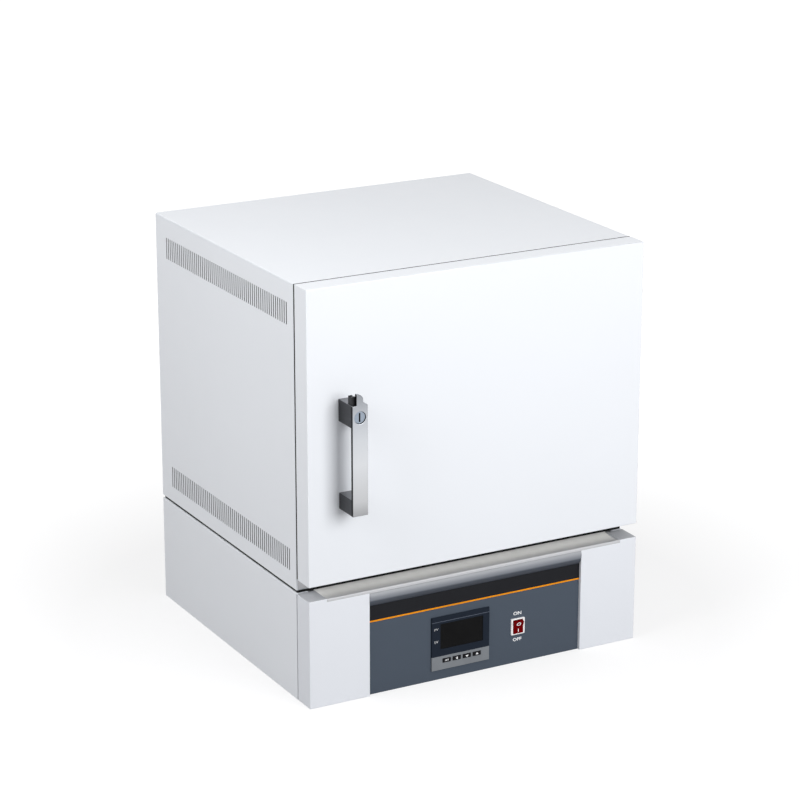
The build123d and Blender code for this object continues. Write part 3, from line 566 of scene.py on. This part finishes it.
# %% [markdown]
# Some pieces carry two finishes. The grip's cut edges are dark, a painted reflection, and the bore for the
# lock and the lock's slot are dark, painted shade. The tops of the handle's feet are lighter, painted
# light. The tops of the pillars are greyer, painted shade under the door, and the groove across the
# controller holds a pale line, a painted highlight. The walls of the slots in the side sheets are greyer,
# painted shade. Each is picked out by where its faces are or point.

# %% Second finishes
def second_finish(node, material, chosen):
    mesh = rounded[node].data
    mesh.materials.append(material)
    faces = [face for face in mesh.polygons if chosen(face)]
    for face in faces:
        face.material_index = 1
    print(node, len(faces), "faces in", material.name)


lock_low, lock_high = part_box("lock_cylinder")
lock_centre = (lock_low + lock_high) / 2
bore_play = 0.001
lock_bore = (lock_high.x - lock_low.x) / 2 + bore_play
just_below = 0.0002
bezel_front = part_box("controller_bezel")[0].y
divider_floor = 0.0006
side_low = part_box("cabinet_side_left")[0]
side_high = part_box("cabinet_side_right")[1]
sheet_end = 0.005
mostly = 0.7
hardly = 0.5


def in_lock_bore(face):
    return (face.center.xz - lock_centre.xz).length < lock_bore and abs(face.normal.y) < hardly


def on_grip_edge(face):
    return abs(face.normal.x) > mostly or in_lock_bore(face)


def below_lock_face(face):
    return face.center.y > lock_low.y + just_below


def in_divider(face):
    return bezel_front + just_below < face.center.y < bezel_front + divider_floor


def faces_up(face):
    return face.normal.z > mostly


def in_side_slot(face):
    inside = side_low.y + sheet_end < face.center.y < side_high.y - sheet_end
    return inside and abs(face.normal.y) > mostly


second_finish("handle_plate", dark_reflection_and_shade, on_grip_edge)
second_finish("lock_cylinder", dark_reflection_and_shade, below_lock_face)
second_finish("controller_bezel", painted_divider_highlight, in_divider)
for node in ("handle_foot_upper", "handle_foot_lower"):
    second_finish(node, feet_painted_light, faces_up)
for node in ("front_pillar_left", "front_pillar_right"):
    second_finish(node, pillar_tops_painted_shade, faces_up)
for node in ("cabinet_side_left", "cabinet_side_right"):
    second_finish(node, slot_walls_painted_shade, in_side_slot)

# %% [markdown]
# ## Black strips in the gaps
# Two thin black strips fill the gaps, as painted shade: one runs round the rim of the cabinet
# behind the door, the other lies between the base and the cabinet. Each is a flat frame, made as a grid
# with its middle face deleted and then pulled up to its thickness.

# %% Black strips of painted shade
ring_split = 0.4  # the grid's outer corners are at 0.5, the inset ones at 0.25


def flat_frame(name, low, high, width, depth, axis):
    """Rectangular ring from corner low to corner high, thin along the given axis."""
    shape = bmesh.new()
    bmesh.ops.create_grid(shape, x_segments=1, y_segments=1, size=0.5)
    ring = bmesh.ops.inset_individual(shape, faces=shape.faces[:], thickness=0.25)
    inner = [face for face in shape.faces if face not in ring["faces"]]
    bmesh.ops.delete(shape, geom=inner, context="FACES_ONLY")
    across = [index for index in range(3) if index != axis]
    for vert in shape.verts:
        place = [low[axis]] * 3
        for index, side in zip(across, (vert.co.x, vert.co.y)):
            reach = (high[index] - low[index]) / 2
            if abs(side) < ring_split:
                reach -= width
            place[index] = (low[index] + high[index]) / 2 + math.copysign(reach, side)
        vert.co = place
    raised = bmesh.ops.extrude_face_region(shape, geom=shape.faces[:])
    lift = [0.0, 0.0, 0.0]
    lift[axis] = depth
    bmesh.ops.translate(shape, vec=lift, verts=verts_in(raised["geom"]))
    bmesh.ops.recalc_face_normals(shape, faces=shape.faces)
    add_piece(name, mesh_of(shape, name), gap_shade_black, "cabinet")


frame_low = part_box("front_frame")[0]
top_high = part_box("cabinet_top")[1]
base_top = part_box("base_side_left")[1].z
rim_edge = 0.0003
rim_depth = 0.001
rim_width = 0.005
behind_door = 0.016
rim_low = Vector((side_low.x + rim_edge, frame_low.y - rim_depth, side_low.z + behind_door))
rim_high = Vector((side_high.x - rim_edge, frame_low.y, top_high.z - rim_edge))
flat_frame("rim_shade_strip", rim_low, rim_high, rim_width, rim_depth, 1)
strip_set = 0.0022
strip_gap = 0.0002
strip_width = 0.003
strip_low = Vector((side_low.x + strip_set, frame_low.y + strip_set, base_top + strip_gap))
strip_high = Vector((side_high.x - strip_set, side_high.y - strip_set, side_low.z))
strip_depth = side_low.z - base_top - 2 * strip_gap
flat_frame("base_shade_strip", strip_low, strip_high, strip_width, strip_depth, 2)
print("gap under the cabinet", side_low.z - base_top)

# %% [markdown]
# ## Lettering
# The words by the switch and the controller are generic: ON, OFF, PV for the measured value, SV for the
# set value and SET on its key. Blender's text object is a curve, so it is turned into a mesh first, and
# then stood up to face the viewer, less than a tenth of a millimetre proud, like thick print.

# %% Words on the panel
print_depth = 0.00008
capital_share = 0.7  # height of a capital letter, as a share of the font's size
bold = 0.03  # how far a stroke is thickened, as a share of the letter's height
bolder = 0.05
thin = -0.02
wide = 1.25
panel_face_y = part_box("control_panel")[0].y
bezel_face_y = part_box("controller_bezel")[0].y
key_face_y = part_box("key_set")[0].y


def lettering(name, words, height, stretch, centre, body, tilt=0.0, weight=bold):
    curve = bpy.data.curves.new(name, "FONT")
    curve.body = words
    curve.size = height / capital_share
    curve.align_x = "CENTER"
    curve.align_y = "CENTER"
    curve.extrude = print_depth / 2
    curve.resolution_u = 4
    curve.offset = height * weight
    holder = bpy.data.objects.new(name + "_curve", curve)
    scene.collection.objects.link(holder)
    bpy.context.view_layer.update()
    shown = holder.evaluated_get(bpy.context.evaluated_depsgraph_get())
    mesh = bpy.data.meshes.new_from_object(shown)
    bpy.data.objects.remove(holder)
    place = Matrix.Translation(centre) @ Matrix.Rotation(math.pi / 2 + tilt, 4, "X")
    mesh.transform(place @ Matrix.Diagonal((stretch, 1.0, 1.0, 1.0)))
    add_piece(name, mesh, print_white, body)


switch_low, switch_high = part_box("switch_body")
screen_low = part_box("controller_screen")[0]
bezel_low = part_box("controller_bezel")[0]
switch_x = (switch_low.x + switch_high.x) / 2
on_rise = 0.0067
off_drop = 0.0080
readout_x = (bezel_low.x + screen_low.x) / 2
measured_rise = 0.0291
target_rise = 0.0114
readout_height = 0.0034
words_y = panel_face_y - print_depth / 2
bezel_words_y = bezel_face_y - print_depth / 2


def panel_word(name, words, height, x, y, z, weight=bold):
    lettering(name, words, height, wide, (x, y, z), "cabinet", weight=weight)


panel_word("word_on", "ON", 0.0046, switch_x, words_y, switch_high.z + on_rise)
panel_word("word_off", "OFF", 0.0044, switch_x, words_y, switch_low.z - off_drop)
panel_word("word_pv", "PV", readout_height, readout_x, bezel_words_y, screen_low.z + measured_rise, thin)
panel_word("word_sv", "SV", readout_height, readout_x, bezel_words_y, screen_low.z + target_rise, thin)
print("panel face", panel_face_y, "bezel face", bezel_face_y, "key face", key_face_y)

# %% [markdown]
# Three of the keys carry an arrow head. It is a circle with only three corners, squeezed a little, given
# the thickness of the print and turned to point left, down or up. Each sign rides its own key.

# %% Signs on the keys
arrow_radius = 0.0023


def key_centre(node):
    low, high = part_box(node)
    return (low.x + high.x) / 2, (low.z + high.z) / 2


key_x, key_z = key_centre("key_set")
key_words_y = key_face_y - print_depth / 2
lettering("sign_set", "SET", 0.0022, 1.2, (key_x, key_words_y, key_z), "set_key")


def arrow(node, body, turn):
    x, z = key_centre(node)
    shape = bmesh.new()
    bmesh.ops.create_circle(shape, cap_ends=True, segments=3, radius=arrow_radius)
    bmesh.ops.scale(shape, vec=(1.15, 0.9, 1.0), verts=shape.verts)
    front = bmesh.ops.extrude_face_region(shape, geom=shape.faces[:])
    bmesh.ops.translate(shape, vec=(0, 0, print_depth), verts=verts_in(front["geom"]))
    bmesh.ops.transform(shape, matrix=Matrix.Rotation(turn, 4, "Z"), verts=shape.verts)
    stand_up = Matrix.Translation((x, key_face_y, z)) @ Matrix.Rotation(math.pi / 2, 4, "X")
    bmesh.ops.transform(shape, matrix=stand_up, verts=shape.verts)
    bmesh.ops.recalc_face_normals(shape, faces=shape.faces)
    name = "sign_" + node
    add_piece(name, mesh_of(shape, name), print_white, body)


quarter = math.pi / 2
arrow("key_left", "left_key", quarter)
arrow("key_down", "down_key", 2 * quarter)
arrow("key_up", "up_key", 0.0)
print("signs on keys at height", key_z)

# %% [markdown]
# The rocker carries the two standard signs, a ring and a bar. At rest its upper half leans out by twice
# the swing of the rocker, so the ring leans with it. The lower half stands upright.

# %% Signs on the rocker
rocker_swing = math.radians(8.0)
pivot_depth = 0.003
rocker_pivot = Vector((switch_x, panel_face_y + pivot_depth, (switch_low.z + switch_high.z) / 2))


def on_rocker(out, up):
    """Point on the resting rocker, given how far it is out from the pivot and up along it."""
    turned = Matrix.Rotation(rocker_swing, 3, "X") @ Vector((0.0, -out, up))
    return rocker_pivot + turned


face_out = 0.0060
half_rise = 0.0047
lean_out = half_rise * math.tan(rocker_swing)
ring_place = on_rocker(face_out + lean_out + print_depth / 2, half_rise)
bar_place = on_rocker(face_out + lean_out + print_depth / 2, -half_rise)
lettering("sign_ring", "O", 0.0050, 1.2, ring_place, "rocker", 2 * rocker_swing, bolder)
lettering("sign_bar", "I", 0.0046, 1.3, bar_place, "rocker")
print("ring at", tuple(ring_place), "bar at", tuple(bar_place))

# %% [markdown]
# ## Screws
# A pan-head screw is a low disc that narrows towards its top, with a cross recess. One function makes every
# head from a short cone and cuts nothing: the cross is two thin dark bars let into the top, painted shade
# in place of the recess, which reads the same at this size and keeps each screw at a few dozen faces. Every
# small four-sided face is dark, which is the bars and the narrow wall round the head, so the head also has
# a dark rim of painted shade, and the flat top is steel. The numbers are shares of the head's radius or
# height, and the last one is a share of the radius squared.

# %% Screw heads
head_sides = 20
head_taper = 0.8
head_rise = 0.5
cross_length = 1.1
cross_width = 0.22
cross_depth = 0.12
cross_level = 0.98
largest_dark_face = 0.3
liner_screw_radius = 0.0028
hinge_screw_radius = 0.0024


def screw_heads(name, places, outward, radius, body):
    height = radius * head_rise
    shape = bmesh.new()
    turn = Vector((0, 0, 1)).rotation_difference(Vector(outward)).to_matrix().to_4x4()
    for place in places:
        disc = bmesh.ops.create_cone(
            shape,
            cap_ends=True,
            segments=head_sides,
            radius1=radius,
            radius2=radius * head_taper,
            depth=height,
        )
        seat = Matrix.Translation(place) @ turn @ Matrix.Translation((0, 0, height / 2))
        bmesh.ops.transform(shape, matrix=seat, verts=disc["verts"])
        for across in (0.0, quarter):
            bar = bmesh.ops.create_cube(shape, size=1.0)
            size = Matrix.Diagonal((radius * cross_length, radius * cross_width, height * cross_depth, 1.0))
            lift = Matrix.Translation((0, 0, height * cross_level))
            spin = Matrix.Rotation(across, 4, "Z")
            at = Matrix.Translation(place) @ turn @ lift @ spin @ size
            bmesh.ops.transform(shape, matrix=at, verts=bar["verts"])
    mesh = mesh_of(shape, name)
    add_piece(name, mesh, hinge_steel, body)
    # The second finish is black: painted shade in the cross and round the head.
    mesh.materials.append(satin_black_and_recess_shade)
    for face in mesh.polygons:
        small_quad = len(face.vertices) == 4 and face.area < radius * radius * largest_dark_face
        face.material_index = 1 if small_quad else 0


def grid(low, high, count):
    return [low + (high - low) * step / (count - 1) for step in range(count)]


liner_low, liner_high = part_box("door_liner")
liner_inset = 0.012
liner_xs = grid(liner_low.x + liner_inset, liner_high.x - liner_inset, 4)
liner_zs = grid(liner_low.z + liner_inset, liner_high.z - liner_inset, 3)
liner_places = [(x, liner_high.y, z) for x in liner_xs for z in (liner_zs[0], liner_zs[-1])]
liner_places += [(x, liner_high.y, liner_zs[1]) for x in (liner_xs[0], liner_xs[-1])]
screw_heads("door_liner_screws", liner_places, (0, 1, 0), liner_screw_radius, "door")
print("liner screws", len(liner_places))

# %% [markdown]
# The two hinges lift off: the lower half of each is screwed to the cabinet and carries the pin, the upper
# half is screwed to the edge of the door. Each leaf gets two screws, and they ride the leaf's own body.

# %% Hinge screws
half_hinge = 0.0295
leaf_thickness = 0.002
leaf_face_x = side_high.x + leaf_thickness
leaf_middle_out = 0.020
screw_spread = 0.008


def leaf_screws(node, y):
    """Two screws in each of the two leaves of a node, on the leaf's own middle height."""
    leaf_low, leaf_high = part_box(node)
    middles = (leaf_low.z + half_hinge / 2, leaf_high.z - half_hinge / 2)
    return [(leaf_face_x, y, middle + side * screw_spread) for middle in middles for side in (-1, 1)]


cabinet_places = leaf_screws("hinge_leaves_cabinet", frame_low.y + leaf_middle_out)
door_places = leaf_screws("hinge_leaves_door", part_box("door_liner")[1].y - leaf_middle_out)
screw_heads("hinge_screws_cabinet", cabinet_places, (1, 0, 0), hinge_screw_radius, "cabinet")
screw_heads("hinge_screws_door", door_places, (1, 0, 0), hinge_screw_radius, "door")
print("hinge screws", len(cabinet_places) + len(door_places))

# %% [markdown]
# ## Heating coils
# The heat comes from resistance wire wound into a close coil and laid in the grooves of the chamber's side
# walls, back and forth. The construction model keeps only the coil's envelope. Here one run is made by
# spinning the wire's round section about the coil's middle while it moves along, then copied to every
# groove. Short straight wires join the runs.

# %% One run of coil
envelope = 0.0023
wire_radius = 0.00045
coil_pitch = 0.0034
steps_per_turn = 8
element_runs = 4
element_low, element_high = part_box("heating_elements")
element_seat = 0.0025
rear_room = 0.004
run_front = element_low.y + element_seat
run_rear = element_high.y - rear_room
coil_x = element_high.x - element_seat
turns = round((run_rear - run_front) / coil_pitch)


def coil_run():
    """One straight coil along Y, its middle on the Y axis."""
    shape = bmesh.new()
    ring = bmesh.ops.create_circle(shape, cap_ends=True, segments=5, radius=wire_radius)
    bmesh.ops.translate(shape, vec=(envelope - wire_radius, 0, 0), verts=ring["verts"])
    edges = list({edge for vert in ring["verts"] for edge in vert.link_edges})
    step = coil_pitch / steps_per_turn
    wound = bmesh.ops.spin(
        shape, geom=ring["verts"] + edges, cent=(0, 0, 0), axis=(0, 1, 0), dvec=(0, step, 0),
        angle=2 * math.pi * turns, steps=turns * steps_per_turn,
    )
    last = [item for item in wound["geom_last"] if isinstance(item, bmesh.types.BMEdge)]
    bmesh.ops.contextual_create(shape, geom=last)
    bmesh.ops.recalc_face_normals(shape, faces=shape.faces)
    return shape


coil = coil_run()
print("turns", turns, "faces in one run", len(coil.faces))

# %% [markdown]
# The finished run is copied into every groove on both walls, and the first one, which only served as the
# pattern, is deleted. Upright pieces of wire join the runs at the front and at the rear in turn.

# %% Lay the coils in the grooves
link_radius = 0.001
first_run = coil.verts[:] + coil.edges[:] + coil.faces[:]
levels = grid(element_low.z + element_seat, element_high.z - element_seat, element_runs)
for side in (-1, 1):
    for z in levels:
        copied = bmesh.ops.duplicate(coil, geom=first_run)["geom"]
        bmesh.ops.translate(coil, vec=(side * coil_x, run_front, z), verts=verts_in(copied))
    for step in range(element_runs - 1):
        end = run_front if step % 2 == 0 else run_rear
        rise = levels[step + 1] - levels[step]
        link = bmesh.ops.create_cone(
            coil, cap_ends=True, segments=8, radius1=link_radius, radius2=link_radius, depth=rise
        )
        place = (side * coil_x, end, levels[step] + rise / 2)
        bmesh.ops.translate(coil, vec=place, verts=link["verts"])
bmesh.ops.delete(coil, geom=verts_in(first_run), context="VERTS")
coil_mesh = mesh_of(coil, "heating_coils")
coil_mesh.shade_smooth()
heating_coils = add_piece("heating_coils", coil_mesh, element_metal, "cabinet")
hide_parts("heating_elements")
print("coil faces", len(coil_mesh.polygons))

# %% [markdown]
# ## Light
# Three large soft boxes stand round the furnace, as in a product studio: the brightest ahead and to the
# right, a broad one overhead, and one on the left at half the power, which keeps the side from going dull.
# The world adds a little even light, and looks plain white to the camera and in reflections. Together they
# make a white sheet render about as white as it is written.

# %% Soft boxes
def soft_box(name, place, aim, size, power):
    data = bpy.data.lights.new(name, "AREA")
    data.shape = "SQUARE"
    data.size = size
    data.energy = power
    lamp = bpy.data.objects.new(name, data)
    lamp.location = place
    lamp.rotation_mode = "QUATERNION"
    lamp.rotation_quaternion = (Vector(aim) - Vector(place)).to_track_quat("-Z", "Y")
    scene.collection.objects.link(lamp)


middle = (0.0, 0.0, 0.3)
soft_box("front_box", (0.4, -2.2, 1.15), middle, 1.2, 36.0)
soft_box("top_box", (0.1, -0.2, 2.6), middle, 1.8, 7.8)
soft_box("side_box", (-1.6, -0.3, 1.4), middle, 1.2, 18.0)


def seen_ray(tree):
    """1 for a ray that the camera sees straight or in a reflection, 0 for one that carries light."""
    ray = tree.nodes.new("ShaderNodeLightPath")
    either = tree.nodes.new("ShaderNodeMath")
    either.operation = "MAXIMUM"
    tree.links.new(ray.outputs["Is Camera Ray"], either.inputs[0])
    tree.links.new(ray.outputs["Is Glossy Ray"], either.inputs[1])
    return either.outputs["Value"]


world_light = 0.35
world = bpy.data.worlds.new("studio")
scene.world = world
world.use_nodes = True
world_tree = world.node_tree
background = world_tree.nodes["Background"]
background.inputs["Color"].default_value = (1.0, 1.0, 1.0, 1.0)
level = between(world_tree, seen_ray(world_tree), world_light, 1.0, 0.0, 1.0)
world_tree.links.new(level, background.inputs["Strength"])

# %% [markdown]
# ## Floor
# The furnace stands on a plain pale floor that runs out to white. The floor's own diffuse colour takes the
# soft shadow. Seen by the camera or in a reflection it also glows a little, more so further away, which
# carries it to white without adding light to the furnace.

# %% Floor
floor_reach = 12.0
glow_from = 0.45
glow_full = 1.05
least_glow = 0.70
shape = bmesh.new()
bmesh.ops.create_grid(shape, x_segments=1, y_segments=1, size=floor_reach)
floor = bpy.data.objects.new("floor", mesh_of(shape, "floor"))
scene.collection.objects.link(floor)

floor_material, floor_tree, floor_shader, floor_place = start_material("pale_floor")
floor_shader.inputs["Base Color"].default_value = (0.30, 0.30, 0.305, 1.0)
floor_shader.inputs["Roughness"].default_value = 1.0
floor_shader.inputs["Specular IOR Level"].default_value = 0.0
away = floor_tree.nodes.new("ShaderNodeVectorMath")
away.operation = "LENGTH"
floor_tree.links.new(floor_place, away.inputs[0])
glow_level = between(floor_tree, away.outputs["Value"], least_glow, 1.0, glow_from, glow_full)
glow = floor_tree.nodes.new("ShaderNodeMath")
glow.operation = "MULTIPLY"
floor_tree.links.new(glow_level, glow.inputs[0])
floor_tree.links.new(seen_ray(floor_tree), glow.inputs[1])
floor_shader.inputs["Emission Color"].default_value = (1.0, 1.0, 1.0, 1.0)
floor_tree.links.new(glow.outputs["Value"], floor_shader.inputs["Emission Strength"])
dress(floor, floor_material)
print("floor reaches", floor_reach, "m")
